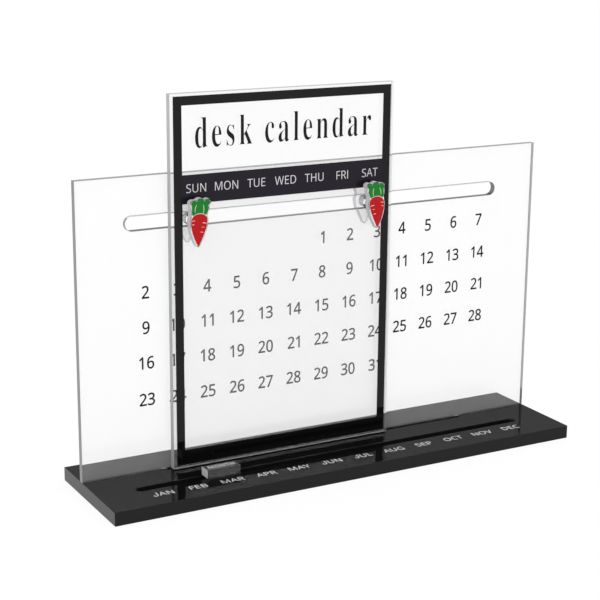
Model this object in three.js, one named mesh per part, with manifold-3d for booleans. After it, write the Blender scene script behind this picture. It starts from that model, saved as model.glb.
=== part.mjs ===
import * as THREE from 'three';
import { mergeVertices } from 'three/addons/utils/BufferGeometryUtils.js';
import Module from 'manifold-3d';

// Desk calendar of acrylic sheet: a black base, an upright sheet with the dates, a window sheet that
// slides in front of it on two carrot-shaped knobs, and a small month marker that slides on the base.
// Millimetres. X runs along the base, Y from front to rear and Z up. The origin is on the table,
// under the middle of the base.

// Base slab
const baseWidth = 300;
const baseDepth = 76;
const baseThickness = 8;

// Slot that holds the date sheet's tongue, and the groove of the month marker, both with round ends
const panelSlotLength = 204;
const panelSlotFloor = 3;
const panelSlotFrontPlay = 2;
const monthGrooveLength = 255;
const monthGrooveWidth = 6;
const monthGrooveFloor = 4;
const monthGrooveSetback = 24.6;

// Sheets and clearances
const sheetThickness = 4;
const sheetGap = 1;
const fitClearance = 0.3;
const slideClearance = 0.3;
const cutOverrun = 1;

// Date sheet, flush with both ends of the base
const dateSheetSetback = 47;
const dateSheetHeight = 169.5;
const dateSlotLength = 243;
const dateSlotHeight = 8;
const dateSlotRise = 143.5;

// Window sheet, parked left of the middle; its width follows from the knobs' spacing
const knobSpacing = 113.2;
const knobEdgeDistance = 13.9;
const windowHeight = 212.5;
const windowLift = 0.5;
const windowOffset = -26.4;

// Printed frame and weekday band on the window sheet's front
const printThickness = 0.2;
const frameMargin = 2;
const frameTopMargin = 1.5;
const frameSideWidth = 5;
const frameTopWidth = 5;
const frameBottomWidth = 8.6;
const bandHeight = 16;
const bandRise = 152.2;

// Carrot knobs: a front and a rear plate on one pin
const knobThickness = 4;
const knobStandOff = 2.6;
const knobRearGap = 0.6;
const knobMargin = 0.7;
const knobTopMargin = 0.2;
const knobLean = 5.1; // degrees, the tops towards each other
const rootWidth = 9.7;
const rootHeight = 18;
const rootTipDrop = 13.4;
const leafWidth = 11.3;
const leafHeight = 10.9;
const leafFootRise = 2.2;
const printSeam = 0.35;

// Month marker
const markerWidth = 20.7;
const markerDepth = 8;
const markerHeight = 5;
const markerTongueWidth = 17;
const markerOffset = -75.7;

// Facets
const arcSegments = 12;
const pinSegments = 32;
const outlineSegments = 3;

// The left knob's outlines, clockwise from the top, as shares of half width and of height
const rootShares = [
  [0.12, 1],
  [0.45, 0.99],
  [0.72, 0.955],
  [0.91, 0.905],
  [1, 0.81],
  [0.95, 0.625],
  [0.77, 0.425],
  [0.49, 0.205],
  [0.25, 0.04],
  [0.13, 0],
  [0.01, 0.03],
  [-0.39, 0.205],
  [-0.74, 0.425],
  [-0.95, 0.625],
  [-0.98, 0.775],
  [-0.9, 0.86],
  [-0.72, 0.925],
  [-0.43, 0.975],
  [-0.16, 0.995],
];
const leafShares = [
  [0.03, 1],
  [0.17, 0.98],
  [0.36, 0.87],
  [0.51, 0.905],
  [0.69, 0.955],
  [0.86, 0.945],
  [0.97, 0.885],
  [1, 0.805],
  [0.85, 0.65],
  [0.92, 0.525],
  [0.81, 0.34],
  [0.74, 0.23],
  [0.64, 0.12],
  [0.42, 0.035],
  [0, 0],
  [-0.42, 0.035],
  [-0.73, 0.13],
  [-0.84, 0.23],
  [-0.87, 0.415],
  [-0.89, 0.56],
  [-0.99, 0.705],
  [-0.93, 0.79],
  [-0.76, 0.845],
  [-0.58, 0.855],
  [-0.42, 0.84],
  [-0.21, 0.95],
  [-0.1, 0.985],
];
const carrotShares = [
  [0.02, 1],
  [0.19, 0.99],
  [0.32, 0.97],
  [0.47, 0.98],
  [0.66, 0.995],
  [0.85, 0.985],
  [0.98, 0.95],
  [1, 0.91],
  [0.89, 0.85],
  [0.93, 0.8],
  [0.83, 0.725],
  [0.8, 0.675],
  [0.87, 0.59],
  [0.89, 0.525],
  [0.82, 0.39],
  [0.67, 0.26],
  [0.5, 0.15],
  [0.3, 0.04],
  [0.21, 0.01],
  [0.1, 0],
  [-0.02, 0.015],
  [-0.19, 0.065],
  [-0.47, 0.18],
  [-0.69, 0.3],
  [-0.83, 0.425],
  [-0.88, 0.51],
  [-0.83, 0.595],
  [-0.83, 0.66],
  [-0.9, 0.745],
  [-0.92, 0.815],
  [-1, 0.885],
  [-0.94, 0.92],
  [-0.79, 0.945],
  [-0.58, 0.955],
  [-0.43, 0.955],
  [-0.3, 0.975],
  [-0.16, 0.995],
];

// Places that follow from the sizes
const dateSheetFrontY = dateSheetSetback - baseDepth / 2;
const dateSheetRearY = dateSheetFrontY + sheetThickness;
const panelSlotWidth = panelSlotFrontPlay + sheetThickness + fitClearance;
const panelSlotMiddleY = dateSheetRearY + fitClearance - panelSlotWidth / 2;
const windowWidth = knobSpacing + 2 * knobEdgeDistance;
const windowFrontY = dateSheetFrontY - sheetGap - sheetThickness;
const windowBottomZ = baseThickness + windowLift;
const slotZ = baseThickness + dateSlotRise;
const pinRadius = dateSlotHeight / 2 - slideClearance;
const pinHoleRadius = pinRadius + fitClearance;
const monthGrooveY = monthGrooveSetback - baseDepth / 2;

const wasm = await Module();
wasm.setup();

function toSolid(geometry) {
  const bare = geometry.clone();
  bare.deleteAttribute('normal');
  bare.deleteAttribute('uv');
  const merged = mergeVertices(bare);
  const mesh = new wasm.Mesh({
    numProp: 3,
    vertProperties: merged.attributes.position.array,
    triVerts: merged.index.array,
  });
  return new wasm.Manifold(mesh);
}

function toGeometry(solid) {
  const mesh = solid.getMesh();
  const geometry = new THREE.BufferGeometry();
  geometry.setAttribute('position', new THREE.BufferAttribute(new Float32Array(mesh.vertProperties), 3));
  geometry.setIndex(new THREE.BufferAttribute(new Uint32Array(mesh.triVerts), 1));
  geometry.computeVertexNormals();
  return geometry;
}

function polygon(Kind, points) {
  return new Kind(points.map(([x, y]) => new THREE.Vector2(x, y)));
}

function rectangle(Kind, left, bottom, right, top) {
  return polygon(Kind, [
    [left, bottom],
    [right, bottom],
    [right, top],
    [left, top],
  ]);
}

// A slot's outline: two straight sides and two half-round ends
function roundEnded(Kind, centreX, centreY, length, width) {
  const radius = width / 2;
  const reach = length / 2 - radius;
  const outline = new Kind();
  outline.absarc(centreX + reach, centreY, radius, -Math.PI / 2, Math.PI / 2, false);
  outline.absarc(centreX - reach, centreY, radius, Math.PI / 2, (3 * Math.PI) / 2, false);
  outline.closePath();
  return outline;
}

// A closed smooth outline from a clockwise loop of shares; hand -1 mirrors it left to right
function smoothOutline(shares, width, height, bottom, grow, hand) {
  const loop = shares.map(([x, y]) => [(x * width) / 2, bottom + y * height]);
  const points = loop.map(([x, y], index) => {
    const before = loop[(index + loop.length - 1) % loop.length];
    const after = loop[(index + 1) % loop.length];
    const along = new THREE.Vector2(after[0] - before[0], after[1] - before[1]).normalize();
    return new THREE.Vector2(hand * (x - along.y * grow), y + along.x * grow);
  });
  if (hand > 0) {
    points.reverse();
  }
  const outline = new THREE.Shape();
  outline.moveTo(points[0].x, points[0].y);
  outline.splineThru(points.slice(1).concat([points[0].clone()]));
  return outline;
}

// An upright sheet: the outline lies in X and Z, the front face at Y = 0, the rear at the thickness
function upright(outline, thickness, curveSegments) {
  const geometry = new THREE.ExtrudeGeometry(outline, {
    depth: thickness,
    bevelEnabled: false,
    curveSegments,
  });
  geometry.rotateX(Math.PI / 2);
  geometry.translate(0, thickness, 0);
  return geometry;
}

// A vertical cutter for a slot in the base, from its floor to just over the base's top
function slotCutter(centreY, length, width, floor) {
  const outline = roundEnded(THREE.Shape, 0, centreY, length, width);
  const geometry = new THREE.ExtrudeGeometry(outline, {
    depth: baseThickness - floor + cutOverrun,
    bevelEnabled: false,
    curveSegments: arcSegments,
  });
  geometry.translate(0, 0, floor);
  return toSolid(geometry);
}

function material(color, roughness, opacity) {
  return new THREE.MeshStandardMaterial({
    color,
    roughness,
    metalness: 0,
    opacity,
    transparent: opacity < 1,
  });
}

function node(name, geometry, look) {
  const mesh = new THREE.Mesh(geometry, look);
  mesh.name = name;
  return mesh;
}

const blackAcrylic = material(0x1c1c1d, 0.08, 1);
const clearAcrylic = material(0xf4f7f8, 0.05, 0.3);
const blackPrint = material(0x232324, 0.35, 1);
const bandPrint = material(0x2c2830, 0.35, 1);
const redPrint = material(0xc4202a, 0.35, 1);
const greenPrint = material(0x1f8a2c, 0.35, 1);

function baseSlab() {
  const block = new THREE.BoxGeometry(baseWidth, baseDepth, baseThickness);
  block.translate(0, 0, baseThickness / 2);
  const panelSlot = slotCutter(panelSlotMiddleY, panelSlotLength, panelSlotWidth, panelSlotFloor);
  const monthGroove = slotCutter(monthGrooveY, monthGrooveLength, monthGrooveWidth, monthGrooveFloor);
  const cut = toSolid(block).subtract(panelSlot).subtract(monthGroove);
  return node('base_slab', toGeometry(cut), blackAcrylic);
}

// The date sheet stands on the base on its shoulders, and its tongue fills the slot's straight part
function dateSheet() {
  const side = baseWidth / 2;
  const tongueSide = (panelSlotLength - panelSlotWidth) / 2;
  const tongueFoot = panelSlotFloor + fitClearance;
  const top = baseThickness + dateSheetHeight;
  const outline = polygon(THREE.Shape, [
    [-side, baseThickness],
    [-tongueSide, baseThickness],
    [-tongueSide, tongueFoot],
    [tongueSide, tongueFoot],
    [tongueSide, baseThickness],
    [side, baseThickness],
    [side, top],
    [-side, top],
  ]);
  outline.holes.push(roundEnded(THREE.Path, 0, slotZ, dateSlotLength, dateSlotHeight));
  const mesh = node('date_sheet', upright(outline, sheetThickness, arcSegments), clearAcrylic);
  mesh.position.y = dateSheetFrontY;
  return mesh;
}

function windowSheet() {
  const side = windowWidth / 2;
  const outline = rectangle(THREE.Shape, -side, windowBottomZ, side, windowBottomZ + windowHeight);
  for (const x of [-knobSpacing / 2, knobSpacing / 2]) {
    const hole = new THREE.Path();
    hole.absarc(x, slotZ, pinHoleRadius, 0, 2 * Math.PI, false);
    outline.holes.push(hole);
  }
  const mesh = node('window_sheet', upright(outline, sheetThickness, arcSegments), clearAcrylic);
  mesh.position.y = windowFrontY;
  return mesh;
}

function windowPrints() {
  const side = windowWidth / 2 - frameMargin;
  const bottom = windowBottomZ + frameMargin;
  const top = windowBottomZ + windowHeight - frameTopMargin;
  const innerSide = side - frameSideWidth;
  const frame = rectangle(THREE.Shape, -side, bottom, side, top);
  const pane = rectangle(
    THREE.Path,
    -innerSide,
    bottom + frameBottomWidth,
    innerSide,
    top - frameTopWidth,
  );
  frame.holes.push(pane);
  const bandBottom = windowBottomZ + bandRise;
  const band = rectangle(THREE.Shape, -innerSide, bandBottom, innerSide, bandBottom + bandHeight);
  const meshes = [
    node('window_frame_print', upright(frame, printThickness, arcSegments), blackPrint),
    node('weekday_band_print', upright(band, printThickness, arcSegments), bandPrint),
  ];
  for (const mesh of meshes) {
    mesh.position.y = windowFrontY - printThickness;
  }
  return meshes;
}

// A knob: its outlines are drawn about the pin and lean, and the group stands the pin in the slot
function knob(side, x) {
  const group = new THREE.Group();
  const hand = x < 0 ? 1 : -1;
  const rearPlateY = dateSheetRearY + knobRearGap;
  const frontPlateY = windowFrontY - knobStandOff - knobThickness;
  const frontPlateRearY = frontPlateY + knobThickness;
  const leafTop = leafFootRise + leafHeight;
  const plateWidth = leafWidth + 2 * knobMargin;
  const plateBottom = -rootTipDrop - knobMargin;
  const plateHeight = leafTop + knobTopMargin - plateBottom;
  const plate = smoothOutline(carrotShares, plateWidth, plateHeight, plateBottom, 0, hand);
  const root = smoothOutline(rootShares, rootWidth, rootHeight, -rootTipDrop, 0, hand);
  const seam = smoothOutline(rootShares, rootWidth, rootHeight, -rootTipDrop, printSeam, hand);
  const leaf = smoothOutline(leafShares, leafWidth, leafHeight, leafFootRise, 0, hand);

  const front = node(side + '_knob_front', upright(plate, knobThickness, outlineSegments), clearAcrylic);
  front.position.y = frontPlateY;
  const rear = node(side + '_knob_rear', upright(plate, knobThickness, outlineSegments), clearAcrylic);
  rear.position.y = rearPlateY;

  const rootPrint = node(
    side + '_knob_root_print',
    upright(root, printThickness, outlineSegments),
    redPrint,
  );
  rootPrint.position.y = frontPlateY - printThickness;
  const seamCutter = upright(seam, printThickness + 2 * cutOverrun, outlineSegments);
  seamCutter.translate(0, -cutOverrun, 0);
  const leafSolid = toSolid(upright(leaf, printThickness, outlineSegments));
  const leafPrint = node(
    side + '_knob_leaf_print',
    toGeometry(leafSolid.subtract(toSolid(seamCutter))),
    greenPrint,
  );
  leafPrint.position.y = frontPlateY - printThickness;

  const pinLength = rearPlateY - frontPlateRearY;
  const pinGeometry = new THREE.CylinderGeometry(pinRadius, pinRadius, pinLength, pinSegments);
  const pin = node(side + '_knob_pin', pinGeometry, clearAcrylic);
  pin.position.y = frontPlateRearY + pinLength / 2;

  for (const cut of [front, rear, rootPrint, leafPrint]) {
    cut.geometry.rotateY(hand * THREE.MathUtils.degToRad(knobLean));
  }
  group.add(front, rear, rootPrint, leafPrint, pin);
  group.position.set(x, 0, slotZ);
  return group;
}

function slidingWindow() {
  const group = new THREE.Group();
  group.add(windowSheet(), ...windowPrints());
  group.add(knob('left', -knobSpacing / 2), knob('right', knobSpacing / 2));
  group.position.x = windowOffset;
  return group;
}

function monthMarker() {
  const group = new THREE.Group();
  const blockBottom = baseThickness + slideClearance;
  const tongueFoot = monthGrooveFloor + slideClearance;
  const tongueThickness = monthGrooveWidth - 2 * fitClearance;
  const tongueHeight = blockBottom - tongueFoot;
  const block = new THREE.BoxGeometry(markerWidth, markerDepth, markerHeight);
  block.translate(0, 0, blockBottom + markerHeight / 2);
  const tongue = new THREE.BoxGeometry(markerTongueWidth, tongueThickness, tongueHeight);
  tongue.translate(0, 0, tongueFoot + tongueHeight / 2);
  group.add(node('month_marker_block', block, clearAcrylic));
  group.add(node('month_marker_tongue', tongue, clearAcrylic));
  group.position.set(markerOffset, monthGrooveY, 0);
  return group;
}

const calendar = new THREE.Group();
calendar.add(baseSlab(), dateSheet(), slidingWindow(), monthMarker());

export default calendar;
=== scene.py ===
import math

import bmesh
import bpy
from mathutils import Matrix, Vector


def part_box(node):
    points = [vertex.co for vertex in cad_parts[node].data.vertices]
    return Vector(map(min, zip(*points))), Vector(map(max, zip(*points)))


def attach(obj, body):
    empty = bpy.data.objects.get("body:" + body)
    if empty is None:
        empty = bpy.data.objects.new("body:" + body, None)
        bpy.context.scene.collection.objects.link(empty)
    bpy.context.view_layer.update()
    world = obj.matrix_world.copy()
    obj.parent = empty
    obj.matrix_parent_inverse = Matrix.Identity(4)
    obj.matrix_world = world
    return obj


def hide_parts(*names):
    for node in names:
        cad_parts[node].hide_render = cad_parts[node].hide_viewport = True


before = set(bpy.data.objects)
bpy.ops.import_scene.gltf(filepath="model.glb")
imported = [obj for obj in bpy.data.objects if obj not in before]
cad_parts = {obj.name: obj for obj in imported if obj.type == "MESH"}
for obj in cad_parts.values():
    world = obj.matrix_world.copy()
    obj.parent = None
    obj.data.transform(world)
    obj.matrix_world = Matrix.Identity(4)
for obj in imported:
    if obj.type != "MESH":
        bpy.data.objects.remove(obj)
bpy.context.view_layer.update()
mm = 0.001
scene = bpy.context.scene
scene.view_settings.view_transform = "Standard"
print("frame loaded:", len(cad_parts), "CAD nodes")

# Camera, at the photograph's viewing angle
cameraSettings = {
    "place": (-0.43133, -0.74837, 0.32458),
    "yaw": math.radians(28.8776),  # from +Y towards +X
    "pitch": math.radians(14.7551),  # below the horizon
    "roll": math.radians(0.48),
    "lens": 92.57,
    "sensor": 36.0,
    "nearest": 0.01,
}


def placeCamera(settings):
    data = bpy.data.cameras.new("camera")
    data.lens = settings["lens"]
    data.sensor_width = settings["sensor"]
    data.clip_start = settings["nearest"]
    camera = bpy.data.objects.new("camera", data)
    scene.collection.objects.link(camera)
    camera.matrix_world = (
        Matrix.Translation(settings["place"])
        @ Matrix.Rotation(-settings["yaw"], 4, "Z")
        @ Matrix.Rotation(math.pi / 2 - settings["pitch"], 4, "X")
        @ Matrix.Rotation(settings["roll"], 4, "Z")
    )
    scene.camera = camera


placeCamera(cameraSettings)
print("camera placed")

white = (1, 1, 1, 1)
acrylicIor = 1.49


# sRGB hex to the linear colour that shader sockets take
def linearColour(hexColour):
    shares = [int(hexColour[i : i + 2], 16) / 255 for i in (1, 3, 5)]
    linear = [s / 12.92 if s <= 0.04045 else ((s + 0.055) / 1.055) ** 2.4 for s in shares]
    return (*linear, 1.0)


# A node given as an input is linked by its first output
def addNode(tree, kind, settings=None, inputs=None):
    node = tree.nodes.new("ShaderNode" + kind)
    for key, value in (settings or {}).items():
        setattr(node, key, value)
    for key, value in (inputs or {}).items():
        if isinstance(value, bpy.types.Node):
            value = value.outputs[0]
        if isinstance(value, bpy.types.NodeSocket):
            tree.links.new(value, node.inputs[key])
        else:
            node.inputs[key].default_value = value
    return node


def newMaterial(name):
    material = bpy.data.materials.new(name)
    material.use_nodes = True
    material.node_tree.nodes.clear()
    return material, material.node_tree


# Noise on Object coordinates; size is the real spacing of its grains in metres
def grain(tree, size, detail=2.0, stretch=(1.0, 1.0, 1.0)):
    where = addNode(tree, "TexCoord").outputs["Object"]
    mapped = addNode(tree, "Mapping", inputs={"Vector": where, "Scale": stretch})
    inputs = {"Vector": mapped, "Scale": 1 / size, "Detail": detail}
    return addNode(tree, "TexNoise", inputs=inputs).outputs["Fac"]


# A colour that a pattern makes lighter and darker by a share
def mottled(tree, hexColour, pattern, share):
    inputs = {"Value": pattern, "To Min": 1 - share, "To Max": 1 + share}
    shade = addNode(tree, "MapRange", inputs=inputs)
    settings = {"data_type": "RGBA", "blend_type": "MULTIPLY"}
    inputs = {0: 1.0, 6: linearColour(hexColour), 7: shade}  # 6 and 7 take the two colours
    return addNode(tree, "Mix", settings, inputs).outputs[2]  # 2 gives their product


# Cast black acrylic, diamond polished: a deep black that mirrors an even few per cent of the room,
# with a trace of handling marks in the gloss
blackAcrylicSettings = {
    "body": "#0d0d0e",
    "roughness": 0.4,
    "specular": 0.0,
    "mirrorShare": 0.042,
    "mirrorRoughness": (0.012, 0.035),
    "handlingMarks": 9 * mm,
    "markDetail": 4,
}


def castBlackAcrylic(settings):
    material, tree = newMaterial("cast black acrylic")
    body = addNode(
        tree,
        "BsdfPrincipled",
        inputs={
            "Base Color": linearColour(settings["body"]),
            "Roughness": settings["roughness"],
            "Specular IOR Level": settings["specular"],
        },
    )
    marks = grain(tree, settings["handlingMarks"], settings["markDetail"])
    least, most = settings["mirrorRoughness"]
    marked = addNode(tree, "MapRange", inputs={"Value": marks, "To Min": least, "To Max": most})
    mirror = addNode(tree, "BsdfGlossy", inputs={"Color": white, "Roughness": marked})
    surface = addNode(tree, "MixShader", inputs={0: settings["mirrorShare"], 1: body, 2: mirror})
    addNode(tree, "OutputMaterial", inputs={"Surface": surface})
    return material


# Edges of the black slab: the ends polished by flame and bright, with their body painted a lighter
# black as painted light; the long sides left as sawn and sanded, satin with faint upright lines
blackEdgeSettings = {
    # painted light: the ends' body is a lighter black than the sides' and the top's
    "flame-polished and painted lighter": {"body": "#161617", "specular": 0.25, "roughness": 0.06, "depth": 0.002 * mm},
    "sawn": {"body": "#131314", "specular": 0.18, "roughness": 0.2, "depth": 0.006 * mm},
    "sawLines": 0.9 * mm,
    "lineStretch": (1, 1, 0.04),
}


def blackEdge(finish, settings):
    material, tree = newMaterial(finish + " black acrylic")
    chosen = settings[finish]
    lines = grain(tree, settings["sawLines"], stretch=settings["lineStretch"])
    body = addNode(
        tree,
        "BsdfPrincipled",
        inputs={
            "Base Color": linearColour(chosen["body"]),
            "Roughness": chosen["roughness"],
            "IOR": acrylicIor,
            "Specular IOR Level": chosen["specular"],
            "Normal": addNode(tree, "Bump", inputs={"Height": lines, "Distance": chosen["depth"]}),
        },
    )
    addNode(tree, "OutputMaterial", inputs={"Surface": body})
    return material


# Cast clear acrylic (PMMA): water-clear, with an even share of reflection on each glossy face, and a
# fine haze of wear that lightens what is dark behind it
clearSettings = {
    "dateSheet": {"tint": "#ffffff", "mirrorShare": 0.02, "hazeShare": 0.108},
    "windowSheet": {"tint": "#fdfdfd", "mirrorShare": 0.035, "hazeShare": 0.04},
    "knobPlate": {"tint": "#fdfcfd", "mirrorShare": 0.03, "hazeShare": 0.02},
    "block": {"tint": "#fafbfb", "mirrorShare": 0.022, "hazeShare": 0.045},
    "tongue": {"tint": "#ffffff", "mirrorShare": 0.02, "hazeShare": 0.0},
}


def clearAcrylic(name, settings):
    material, tree = newMaterial("clear acrylic " + name)
    chosen = settings[name]
    tint = linearColour(chosen["tint"])
    inputs = {"Color": tint, "Roughness": 0.0, "IOR": acrylicIor}
    through = addNode(tree, "BsdfRefraction", inputs=inputs)
    haze = addNode(tree, "BsdfDiffuse", inputs={"Color": white})
    mirror = addNode(tree, "BsdfGlossy", inputs={"Color": white, "Roughness": 0.0})
    worn = addNode(tree, "MixShader", inputs={0: chosen["hazeShare"], 1: through, 2: haze})
    sheet = addNode(tree, "MixShader", inputs={0: chosen["mirrorShare"], 1: worn, 2: mirror})
    # Shadow rays pass, so that clear acrylic doesn't darken what stands behind it
    shadowRay = addNode(tree, "LightPath").outputs["Is Shadow Ray"]
    passing = addNode(tree, "BsdfTransparent", inputs={"Color": tint})
    surface = addNode(tree, "MixShader", inputs={0: shadowRay, 1: sheet, 2: passing})
    addNode(tree, "OutputMaterial", inputs={"Surface": surface})
    return material


# Laser-cut edge of a clear sheet: satin grey with fine lines across the thickness. From within the
# sheet it mirrors, as a polished cut does
clearEdgeSettings = {
    "body": "#a2a5a7",
    "roughness": 0.3,
    "specular": 0.3,
    "within": "#fbfcfd",
    "withinRoughness": 0.02,
    "cutLines": 0.5 * mm,
    "lineStretch": (1, 0.05, 1),
    "lineDepth": 0.01 * mm,
    "lineShare": 0.08,
}


def clearEdge(name, settings, **changes):
    chosen = {**settings, **changes}
    material, tree = newMaterial("laser-cut acrylic " + name)
    lines = grain(tree, chosen["cutLines"], stretch=chosen["lineStretch"])
    body = addNode(
        tree,
        "BsdfPrincipled",
        inputs={
            "Base Color": mottled(tree, chosen["body"], lines, chosen["lineShare"]),
            "Roughness": chosen["roughness"],
            "IOR": acrylicIor,
            "Specular IOR Level": chosen["specular"],
            "Normal": addNode(tree, "Bump", inputs={"Height": lines, "Distance": chosen["lineDepth"]}),
        },
    )
    inputs = {"Color": linearColour(chosen["within"]), "Roughness": chosen["withinRoughness"]}
    mirror = addNode(tree, "BsdfGlossy", inputs=inputs)
    within = addNode(tree, "NewGeometry").outputs["Backfacing"]
    surface = addNode(tree, "MixShader", inputs={0: within, 1: body, 2: mirror})
    addNode(tree, "OutputMaterial", inputs={"Surface": surface})
    return material


# Screen-printed ink with an acrylic binder: opaque, smooth, with the faint mottle of the printing mesh
inkSettings = {
    "mottle": 0.6 * mm,  # the mesh is 0.1 mm; drawn coarser so that it shows
    "mottleDetail": 3,
    "mottleShare": 0.05,
    "roughness": 0.06,
    "specular": 0.15,
}


def ink(name, hexColour, settings, **changes):
    chosen = {**settings, **changes}
    material, tree = newMaterial(name + " ink")
    mottle = grain(tree, chosen["mottle"], chosen["mottleDetail"])
    body = addNode(
        tree,
        "BsdfPrincipled",
        inputs={
            "Base Color": mottled(tree, hexColour, mottle, chosen["mottleShare"]),
            "Roughness": chosen["roughness"],
            "IOR": acrylicIor,
            "Specular IOR Level": chosen["specular"],
        },
    )
    addNode(tree, "OutputMaterial", inputs={"Surface": body})
    return material


blackAcrylic = castBlackAcrylic(blackAcrylicSettings)
paintedLighterBlackEnds = blackEdge("flame-polished and painted lighter", blackEdgeSettings)
blackSides = blackEdge("sawn", blackEdgeSettings)
dateClear = clearAcrylic("dateSheet", clearSettings)
windowClear = clearAcrylic("windowSheet", clearSettings)
plateClear = clearAcrylic("knobPlate", clearSettings)
blockClear = clearAcrylic("block", clearSettings)
tongueClear = clearAcrylic("tongue", clearSettings)
sheetEdge = clearEdge("edge", clearEdgeSettings)
dateEdge = clearEdge("date sheet edge", clearEdgeSettings, body="#75787a", within="#97999b")
# painted shade: the slot's walls have a near-black body for the shade in the slot
slotPaintedShadeEdge = clearEdge("slot wall painted shade", clearEdgeSettings, body="#1b1c1d")
knobEdge = clearEdge("knob wall", clearEdgeSettings, body="#c4c4c6")
rearEdge = clearEdge("rear knob wall", clearEdgeSettings, body="#e2e2e4")
footEdge = clearEdge("foot edge", clearEdgeSettings, within="#828486")
frameInk = ink("black screen", "#0a0a0b", inkSettings, roughness=0.02, specular=0.22)
bandInk = ink("charcoal violet screen", "#1b1720", inkSettings)
redInk = ink("red screen", "#a80f16", inkSettings, mottleShare=0.09)
greenInk = ink("green screen", "#166f25", inkSettings, mottleShare=0.12)
creamInk = ink("cream screen", "#f0d9c4", inkSettings)
paleGreenInk = ink("pale green screen", "#bcd3a6", inkSettings)
whiteInk = ink("white screen", "#e4e4e4", inkSettings)
greyInk = ink("pale grey screen", "#c2c1c4", inkSettings)
dateInk = ink("black date", "#101011", inkSettings)
print("materials made")

# What the new pieces share; angles are in radians
meshSettings = {
    "merge": 0.001 * mm,
    "flatAngle": 0.01,  # a fold under it is dissolved
    "cornerAngle": 0.7,  # a fold over it is eased
    "smoothAngle": 0.6,  # a fold under it is shaded smooth
    "flatShare": 0.9999,  # of one axis in the normal of a broad flat face
}


# Walls are smoothed up to a fold; broad flat faces stay flat, so that they mirror straight
def addPiece(name, bm, body, materials):
    mesh = bpy.data.meshes.new(name)
    bm.to_mesh(mesh)
    bm.free()
    for material in materials:
        mesh.materials.append(material)
    if "custom_normal" in mesh.attributes:
        mesh.attributes.remove(mesh.attributes["custom_normal"])
    mesh.set_sharp_from_angle(angle=meshSettings["smoothAngle"])
    for face in mesh.polygons:
        face.use_smooth = max(abs(n) for n in face.normal) < meshSettings["flatShare"]
    piece = bpy.data.objects.new(name, mesh)
    scene.collection.objects.link(piece)
    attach(piece, body)
    return piece


def mergedCopy(node):
    bm = bmesh.new()
    bm.from_mesh(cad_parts[node].data)
    bmesh.ops.remove_doubles(bm, verts=bm.verts, dist=meshSettings["merge"])
    return bm


def dissolveFlats(bm):
    angle = meshSettings["flatAngle"]
    bmesh.ops.dissolve_limit(bm, angle_limit=angle, verts=bm.verts, edges=bm.edges)


# A copy of a CAD solid with its cut edges eased, as sanding and polishing leave them
def easedCopy(node, ease, steps=2):
    bm = mergedCopy(node)
    dissolveFlats(bm)
    folds = [e for e in bm.edges if len(e.link_faces) == 2]
    corners = [e for e in folds if e.calc_face_angle() > meshSettings["cornerAngle"]]
    bmesh.ops.bevel(
        bm,
        geom=corners,
        offset=ease,
        offset_type="OFFSET",
        affect="EDGES",
        segments=steps,
        profile=0.5,
        material=-1,
        clamp_overlap=True,
    )
    bm.normal_update()
    return bm


# Gives flat faces their thickness, which is the length of rise
def thicken(bm, rise):
    film = bmesh.ops.extrude_face_region(bm, geom=bm.faces[:])
    raised = [g for g in film["geom"] if isinstance(g, bmesh.types.BMVert)]
    bmesh.ops.translate(bm, verts=raised, vec=rise)
    bmesh.ops.recalc_face_normals(bm, faces=bm.faces)


def dressNode(node, material):
    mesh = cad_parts[node].data
    mesh.materials.clear()
    mesh.materials.append(material)


# Base: black slab, mirror-polished on top, with bright polished ends, painted a lighter black as
# painted light, and sawn sides
baseSettings = {"ease": 0.25 * mm, "wallShare": 0.5}


def makeBase(settings):
    bm = easedCopy("base_slab", settings["ease"])
    for face in bm.faces:
        atEnd = abs(face.normal.x) > settings["wallShare"]
        atSide = abs(face.normal.y) > settings["wallShare"]
        face.material_index = 1 if atEnd else 2 if atSide else 0
    # the ends' finish has a lighter black body as painted light
    finishes = [blackAcrylic, paintedLighterBlackEnds, blackSides]
    piece = addPiece("base_slab_polished", bm, "base", finishes)
    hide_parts("base_slab")


makeBase(baseSettings)

# The two upright sheets: clear faces and satin edges. The slot's long walls are painted near black as
# painted shade in the slot, and the edge over the base is darker. The tongue in the base is as clear as
# when it was cast, but for its cut ends
sheetSettings = {
    "ease": 0.2 * mm,
    "easeSteps": 1,
    "tongueDrop": 0.01 * mm,  # from the base's top to where the tongue's finish starts
    "cutMerge": 0.0001 * mm,
    "outerBand": 3 * mm,  # inwards from the ends and the top
    "footBand": 12 * mm,  # upwards from the lowest edge
    # shares of an axis in a face's normal, over which it is a broad face, round, an end or an underside
    "faceShare": 0.9,
    "roundShare": 0.6,
    "endShare": 0.5,
    "underShare": 0.5,
}
dateFinishes = {
    "face": dateClear,
    "outer": dateEdge,
    "slot": slotPaintedShadeEdge,
    "foot": footEdge,
    "tongue": tongueClear,
}
windowFinishes = {"face": windowClear, "outer": sheetEdge, "slot": slotPaintedShadeEdge, "foot": footEdge}


# Which of its sheet's finishes a face has, for a sheet that reaches from low to high
def finishOf(face, low, high, tongueTop, settings):
    middle, normal = face.calc_center_median(), face.normal
    band = settings["outerBand"]
    inner = low.x + band < middle.x < high.x - band and middle.z < high.z - band
    aboveFoot = middle.z > low.z + settings["footBand"]
    if middle.z < tongueTop and abs(normal.x) < settings["endShare"]:
        return "tongue"
    if abs(normal.y) > settings["faceShare"]:
        return "face"
    if not aboveFoot and normal.z < -settings["underShare"]:
        return "foot"
    # the slot's long walls, which take the painted shade
    if inner and aboveFoot and abs(normal.x) < settings["roundShare"]:
        return "slot"
    return "outer"


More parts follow.
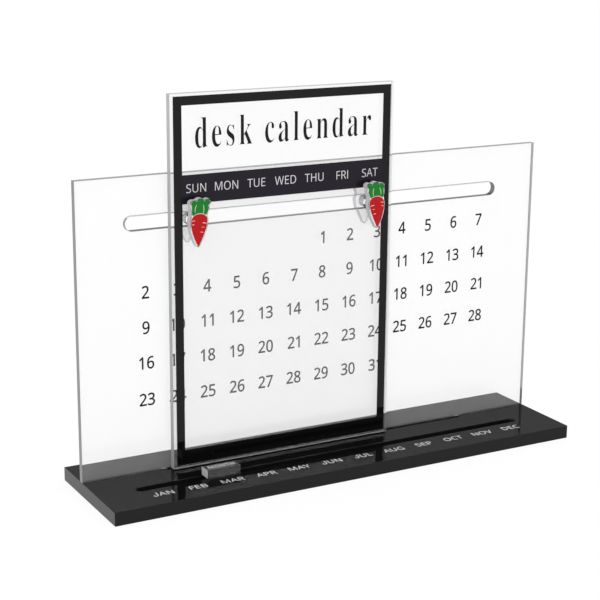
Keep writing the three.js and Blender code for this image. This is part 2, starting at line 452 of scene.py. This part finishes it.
def makeSheet(node, body, finishes, settings):
    bm = easedCopy(node, settings["ease"], settings["easeSteps"])
    low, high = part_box(node)
    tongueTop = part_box("base_slab")[1].z - settings["tongueDrop"]
    bmesh.ops.bisect_plane(
        bm,
        geom=bm.verts[:] + bm.edges[:] + bm.faces[:],
        dist=settings["cutMerge"],
        plane_co=(0, 0, tongueTop),
        plane_no=(0, 0, 1),
    )
    order = list(finishes)
    for face in bm.faces:
        face.material_index = order.index(finishOf(face, low, high, tongueTop, settings))
    piece = addPiece(node + "_clear", bm, body, list(finishes.values()))
    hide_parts(node)


makeSheet("date_sheet", "base", dateFinishes, sheetSettings)
makeSheet("window_sheet", "window", windowFinishes, sheetSettings)
dressNode("window_frame_print", frameInk)
dressNode("weekday_band_print", bandInk)
print("base and sheets made")

# Knobs: two clear carrot-shaped plates on a satin pin, printed red and green over a white underprint
knobSettings = {
    "plateEase": 0.45 * mm,
    "pinEase": 0.1 * mm,
    "faceShare": 0.5,
    "frontDepth": 0.01 * mm,  # what lies deeper isn't the plate's front
    "underprintInset": 0.6 * mm,
    "underprintThickness": 0.06 * mm,
    "strokeHeight": 0.12 * mm,
    "strokeSegments": (14, 9),  # around and along
    "lean": math.radians(5.1),  # the tops towards each other
    # across, up, length, width, turn in degrees, sag of the stroke, all from the pin's axis in mm
    "rootStrokes": [
        (-3.5, 0.7, 2.1, 0.3, 14, 0.2),
        (-3.6, -1.4, 1.6, 0.3, 20, 0.2),
        (3.2, -0.3, 2.6, 0.36, -8, 0.2),
        (2.6, -2.6, 2.0, 0.18, 2, 0.2),
        (2.0, -5.4, 1.9, 0.28, -6, 0.2),
    ],
    "leafStrokes": [
        (-3.0, 7.5, 4.8, 0.38, 82, 0.6),
        (2.2, 7.4, 5.3, 0.4, 95, -0.6),
    ],
}
strokePrints = {"root": ("red_print", creamInk), "leaf": ("green_print", paleGreenInk)}


def makePlate(side, part, settings):
    node = f"{side}_knob_{part}"
    bm = easedCopy(node, settings["plateEase"])
    for face in bm.faces:
        face.material_index = 0 if abs(face.normal.y) > settings["faceShare"] else 1
    finishes = [plateClear, knobEdge if part == "front" else rearEdge]
    piece = addPiece(node + "_polished", bm, "window", finishes)
    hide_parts(node)


def makePin(side, settings):
    node = side + "_knob_pin"
    bm = easedCopy(node, settings["pinEase"])
    piece = addPiece(node + "_polished", bm, "window", [rearEdge])
    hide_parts(node)


def makeUnderprint(side, settings):
    bm = mergedCopy(side + "_knob_front")
    bm.normal_update()
    front = min(v.co.y for v in bm.verts) + settings["frontDepth"]
    hidden = [f for f in bm.faces if f.calc_center_median().y > front]
    bmesh.ops.delete(bm, geom=hidden, context="FACES")
    dissolveFlats(bm)
    rim = bmesh.ops.inset_region(
        bm, faces=bm.faces[:], thickness=settings["underprintInset"], use_boundary=True
    )
    bmesh.ops.delete(bm, geom=rim["faces"], context="FACES")
    thicken(bm, (0, -settings["underprintThickness"], 0))
    addPiece(side + "_knob_underprint", bm, "window", [whiteInk])


# A brush stroke: a ball 1 across, flattened, drawn out, sagged and turned
def addStroke(bm, stroke, settings):
    across, up, length, width, turn, sag = stroke
    around, along = settings["strokeSegments"]
    ball = bmesh.ops.create_uvsphere(bm, u_segments=around, v_segments=along, radius=0.5)["verts"]
    bmesh.ops.scale(bm, verts=ball, vec=(length * mm, 2 * settings["strokeHeight"], width * mm))
    for vert in ball:
        vert.co.z -= sag * mm * (2 * vert.co.x / (length * mm)) ** 2
    turned = Matrix.Rotation(math.radians(-turn), 3, "Y")
    bmesh.ops.rotate(bm, verts=ball, cent=(0, 0, 0), matrix=turned)
    bmesh.ops.translate(bm, verts=ball, vec=(across * mm, 0, up * mm))


# The strokes on one print, mirrored on the right knob
def makeStrokes(side, kind, settings):
    bm = bmesh.new()
    for stroke in settings[kind + "Strokes"]:
        addStroke(bm, stroke, settings)
    lean = settings["lean"]
    if side == "right":
        lean = -lean
        bmesh.ops.scale(bm, verts=bm.verts, vec=(-1, 1, 1))
        bmesh.ops.reverse_faces(bm, faces=bm.faces)
    low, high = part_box(side + "_knob_pin")
    centre = (low + high) / 2
    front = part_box(side + "_knob_root_print")[0].y
    bmesh.ops.rotate(bm, verts=bm.verts, cent=(0, 0, 0), matrix=Matrix.Rotation(lean, 3, "Y"))
    bmesh.ops.translate(bm, verts=bm.verts, vec=(centre.x, front, centre.z))
    slot, strokeInk = strokePrints[kind]
    addPiece(f"{side}_knob_{kind}_strokes", bm, "window", [strokeInk])


def makeKnob(side, settings):
    for part in ("front", "rear"):
        makePlate(side, part, settings)
    makePin(side, settings)
    makeUnderprint(side, settings)
    for kind in strokePrints:
        makeStrokes(side, kind, settings)
    dressNode(side + "_knob_root_print", redInk)
    dressNode(side + "_knob_leaf_print", greenInk)


for side in ("left", "right"):
    makeKnob(side, knobSettings)
print("knobs made")

# Month marker: polished clear block with satin ends, and a clear tongue in the groove
markerSettings = {"blockEase": 0.3 * mm, "tongueEase": 0.1 * mm, "endShare": 0.9}


def makeMarker(settings):
    for part in ("block", "tongue"):
        node = "month_marker_" + part
        bm = easedCopy(node, settings[part + "Ease"])
        for face in bm.faces:
            atEnd = abs(face.normal.x) > settings["endShare"]
            face.material_index = 1 if part == "block" and atEnd else 0
        finishes = [blockClear, knobEdge]
        piece = addPiece(node + "_polished", bm, "month_marker", finishes)
        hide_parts(node)


makeMarker(markerSettings)
print("marker made")

# Lettering: flat ink in the built-in font, sized by the height of its capitals. The font has its sans
# capitals and figures, and its bold roman letters, in rows of their own, named here by the first of
# each. In other alphabets it has an I that is a bare bar, and a J that stands on the line
letterSettings = {"curveSteps": 5, "merge": 0.0001 * mm}
letterRows = {
    "A": "\N{MATHEMATICAL SANS-SERIF CAPITAL A}",
    "0": "\N{MATHEMATICAL SANS-SERIF DIGIT ZERO}",
    "a": "\N{MATHEMATICAL BOLD SMALL A}",
}
plainerLetters = {"I": "\N{GREEK CAPITAL LETTER IOTA}", "J": "\N{CYRILLIC CAPITAL LETTER JE}"}


def printedLetter(letter):
    if letter in plainerLetters:
        return plainerLetters[letter]
    if letter.isspace():
        return letter
    first = "0" if letter.isdigit() else "A" if letter.isupper() else "a"
    return chr(ord(letterRows[first]) + ord(letter) - ord(first))


def wordMesh(text, style):
    curve = bpy.data.curves.new("word", "FONT")
    curve.body = "".join(printedLetter(letter) for letter in text)
    curve.align_x = "CENTER"
    curve.resolution_u = letterSettings["curveSteps"]
    curve.space_character = style.get("spacing", 1.0)
    curve.offset = style.get("weight", 0.0)
    word = bpy.data.objects.new("word", curve)
    scene.collection.objects.link(word)
    graph = bpy.context.evaluated_depsgraph_get()
    mesh = bpy.data.meshes.new_from_object(word.evaluated_get(graph))
    bpy.data.objects.remove(word)
    bpy.data.curves.remove(curve)
    return mesh


def reach(mesh, axis):
    values = [v.co[axis] for v in mesh.vertices]
    return min(values), max(values)


capHeight = reach(wordMesh("H", {}), 1)[1]  # at size 1


# One piece of the given words, each centred on its place, which is on its base line
def letteringPiece(name, body, material, style, words):
    bm = bmesh.new()
    tall = style["height"] / capHeight
    wide = tall * style["squeeze"]
    for text, place in words:
        mesh = wordMesh(text, style)
        left, right = reach(mesh, 0)
        mesh.transform(Matrix.Translation((-(left + right) / 2, 0, 0)))
        mesh.transform(Matrix.Diagonal((wide, tall, 1, 1)))
        mesh.transform(Matrix.Translation(place) @ style["lie"])
        bm.from_mesh(mesh)
        bpy.data.meshes.remove(mesh)
    bmesh.ops.remove_doubles(bm, verts=bm.verts, dist=letterSettings["merge"])
    thicken(bm, style["lie"].to_3x3() @ Vector((0, 0, style["film"])))
    addPiece(name, bm, body, [material])


# Places a pitch apart, as many to the left of zero as to the right
def spacedOut(count, pitch):
    return [(i - (count - 1) / 2) * pitch for i in range(count)]


standing = Matrix.Rotation(math.pi / 2, 4, "X")
lying = Matrix.Identity(4)

dateSettings = {
    "height": 6.9 * mm,
    "squeeze": 0.9,
    "weight": 0.014,
    "film": 0.08 * mm,
    "lift": 0.02 * mm,
    "lie": standing,
    "columns": 13,
    "pitch": 18.4 * mm,
    # first and last date, the first one's column, middle of the figures above the table
    "rows": [
        (1, 7, 6, 133.0 * mm),
        (2, 14, 0, 112.7 * mm),
        (9, 21, 0, 92.6 * mm),
        (16, 28, 0, 72.3 * mm),
        (23, 31, 0, 51.0 * mm),
    ],
}


def datePlaces(settings):
    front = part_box("date_sheet")[0].y - settings["lift"]
    columns = spacedOut(settings["columns"], settings["pitch"])
    words = []
    for first, last, column, middle in settings["rows"]:
        base = middle - settings["height"] / 2
        for date in range(first, last + 1):
            words.append((str(date), (columns[column + date - first], front, base)))
    return words


letteringPiece(
    "date_numbers", "base", dateInk, dateSettings, datePlaces(dateSettings)
)

# The weekday names stand as far apart as the columns of dates
weekdaySettings = {
    "names": "SUN MON TUE WED THU FRI SAT".split(),
    "height": 4.8 * mm,
    "squeeze": 0.94,
    "weight": -0.006,
    "film": 0.06 * mm,
    "lift": 0.01 * mm,
    "lie": standing,
    "pitch": dateSettings["pitch"],
    "middle": 169.2 * mm,
}


def weekdayPlaces(settings):
    low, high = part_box("weekday_band_print")
    centre = (low.x + high.x) / 2
    front = low.y - settings["lift"]
    base = settings["middle"] - settings["height"] / 2
    columns = spacedOut(len(settings["names"]), settings["pitch"])
    return [(n, (centre + x, front, base)) for n, x in zip(settings["names"], columns)]


letteringPiece(
    "weekday_names", "window", greyInk, weekdaySettings, weekdayPlaces(weekdaySettings)
)

titleSettings = {
    "words": "desk calendar",
    "height": 17.6 * mm,
    "squeeze": 0.62,
    "spacing": 1.22,
    "weight": -0.01,
    "film": 0.06 * mm,
    "lift": 0.02 * mm,
    "lie": standing,
    "base": 191.0 * mm,
}


# The title is printed on the window sheet's front, where the back of the frame print is
def titlePlaces(settings):
    low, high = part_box("window_frame_print")
    place = ((low.x + high.x) / 2, high.y - settings["lift"], settings["base"])
    return [(settings["words"], place)]


letteringPiece(
    "title_words", "window", dateInk, titleSettings, titlePlaces(titleSettings)
)

monthSettings = {
    "names": "JAN FEB MAR APR MAY JUN JUL AUG SEP OCT NOV DEC".split(),
    "height": 4.8 * mm,
    "squeeze": 1.0,
    "weight": -0.008,
    "film": 0.05 * mm,
    "lift": 0.01 * mm,
    "lie": lying,
    "pitch": 21.13 * mm,
    "middle": -24.6 * mm,
}


def monthPlaces(settings):
    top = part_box("base_slab")[1].z + settings["lift"]
    base = settings["middle"] - settings["height"] / 2
    columns = spacedOut(len(settings["names"]), settings["pitch"])
    return [(n, (x, base, top)) for n, x in zip(settings["names"], columns)]


letteringPiece(
    "month_names", "base", whiteInk, monthSettings, monthPlaces(monthSettings)
)

markerWordSettings = {
    "words": "MONTH",
    "height": 3.6 * mm,
    "squeeze": 0.84,
    "spacing": 1.1,
    "film": 0.05 * mm,
    "lift": 0.01 * mm,
    "lie": lying,
}


def markerPlaces(settings):
    low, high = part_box("month_marker_block")
    base = (low.y + high.y) / 2 - settings["height"] / 2
    return [(settings["words"], ((low.x + high.x) / 2, base, high.z + settings["lift"]))]


letteringPiece(
    "marker_word",
    "month_marker",
    whiteInk,
    markerWordSettings,
    markerPlaces(markerWordSettings),
)
print("lettering made")

# Floor, light and background
stageSettings = {
    "floorSize": 14.0,
    "floorColour": "#f8f8f8",
    "seenWhite": 0.9,  # share of the floor that is plain white to the camera and in mirrors
    "worldLevel": 1.12,
}


# The share, for rays from the camera, from mirrors and through clear acrylic, and 0 for all others
def seenDirectly(tree, share):
    rays = addNode(tree, "LightPath").outputs
    larger = {"operation": "MAXIMUM"}
    inputs = {0: rays["Is Glossy Ray"], 1: rays["Is Transmission Ray"]}
    indirect = addNode(tree, "Math", larger, inputs)
    seen = addNode(tree, "Math", larger, {0: rays["Is Camera Ray"], 1: indirect})
    return addNode(tree, "Math", {"operation": "MULTIPLY"}, {0: seen, 1: share})


def makeFloor(settings):
    material, tree = newMaterial("white studio paper")
    paper = addNode(tree, "BsdfDiffuse", inputs={"Color": linearColour(settings["floorColour"])})
    plain = addNode(tree, "Emission", inputs={"Color": white, "Strength": 1.0})
    seen = seenDirectly(tree, settings["seenWhite"])
    surface = addNode(tree, "MixShader", inputs={0: seen, 1: paper, 2: plain})
    addNode(tree, "OutputMaterial", inputs={"Surface": surface})
    bm = bmesh.new()
    bmesh.ops.create_grid(bm, x_segments=1, y_segments=1, size=settings["floorSize"] / 2)
    mesh = bpy.data.meshes.new("floor")
    bm.to_mesh(mesh)
    bm.free()
    mesh.materials.append(material)
    floor = bpy.data.objects.new("floor", mesh)
    scene.collection.objects.link(floor)


def makeWorld(settings):
    world = bpy.data.worlds.new("studio")
    scene.world = world
    world.use_nodes = True
    tree = world.node_tree
    tree.nodes.clear()
    inputs = {"Color": white, "Strength": settings["worldLevel"]}
    light = addNode(tree, "Background", inputs=inputs)
    plain = addNode(tree, "Background", inputs={"Color": white, "Strength": 1.0})
    surface = addNode(tree, "MixShader", inputs={0: seenDirectly(tree, 1.0), 1: light, 2: plain})
    addNode(tree, "OutputWorld", inputs={"Surface": surface})


lampSettings = {
    "key": {"place": (-1.3, -1.0, 1.3), "size": 0.9, "power": 5.0},
    "fill": {"place": (1.2, -1.4, 1.0), "size": 1.2, "power": 3.0},
}
lampTarget = Vector((0, 0, 0.08))


def makeLamp(name, settings):
    data = bpy.data.lights.new(name, "AREA")
    data.shape = "SQUARE"
    data.size = settings["size"]
    data.energy = settings["power"]
    lamp = bpy.data.objects.new(name, data)
    scene.collection.objects.link(lamp)
    place = Vector(settings["place"])
    turned = (lampTarget - place).to_track_quat("-Z", "Y").to_matrix().to_4x4()
    lamp.matrix_world = Matrix.Translation(place) @ turned


makeFloor(stageSettings)
makeWorld(stageSettings)
for name, lamp in lampSettings.items():
    makeLamp(name, lamp)
print("stage and light made")
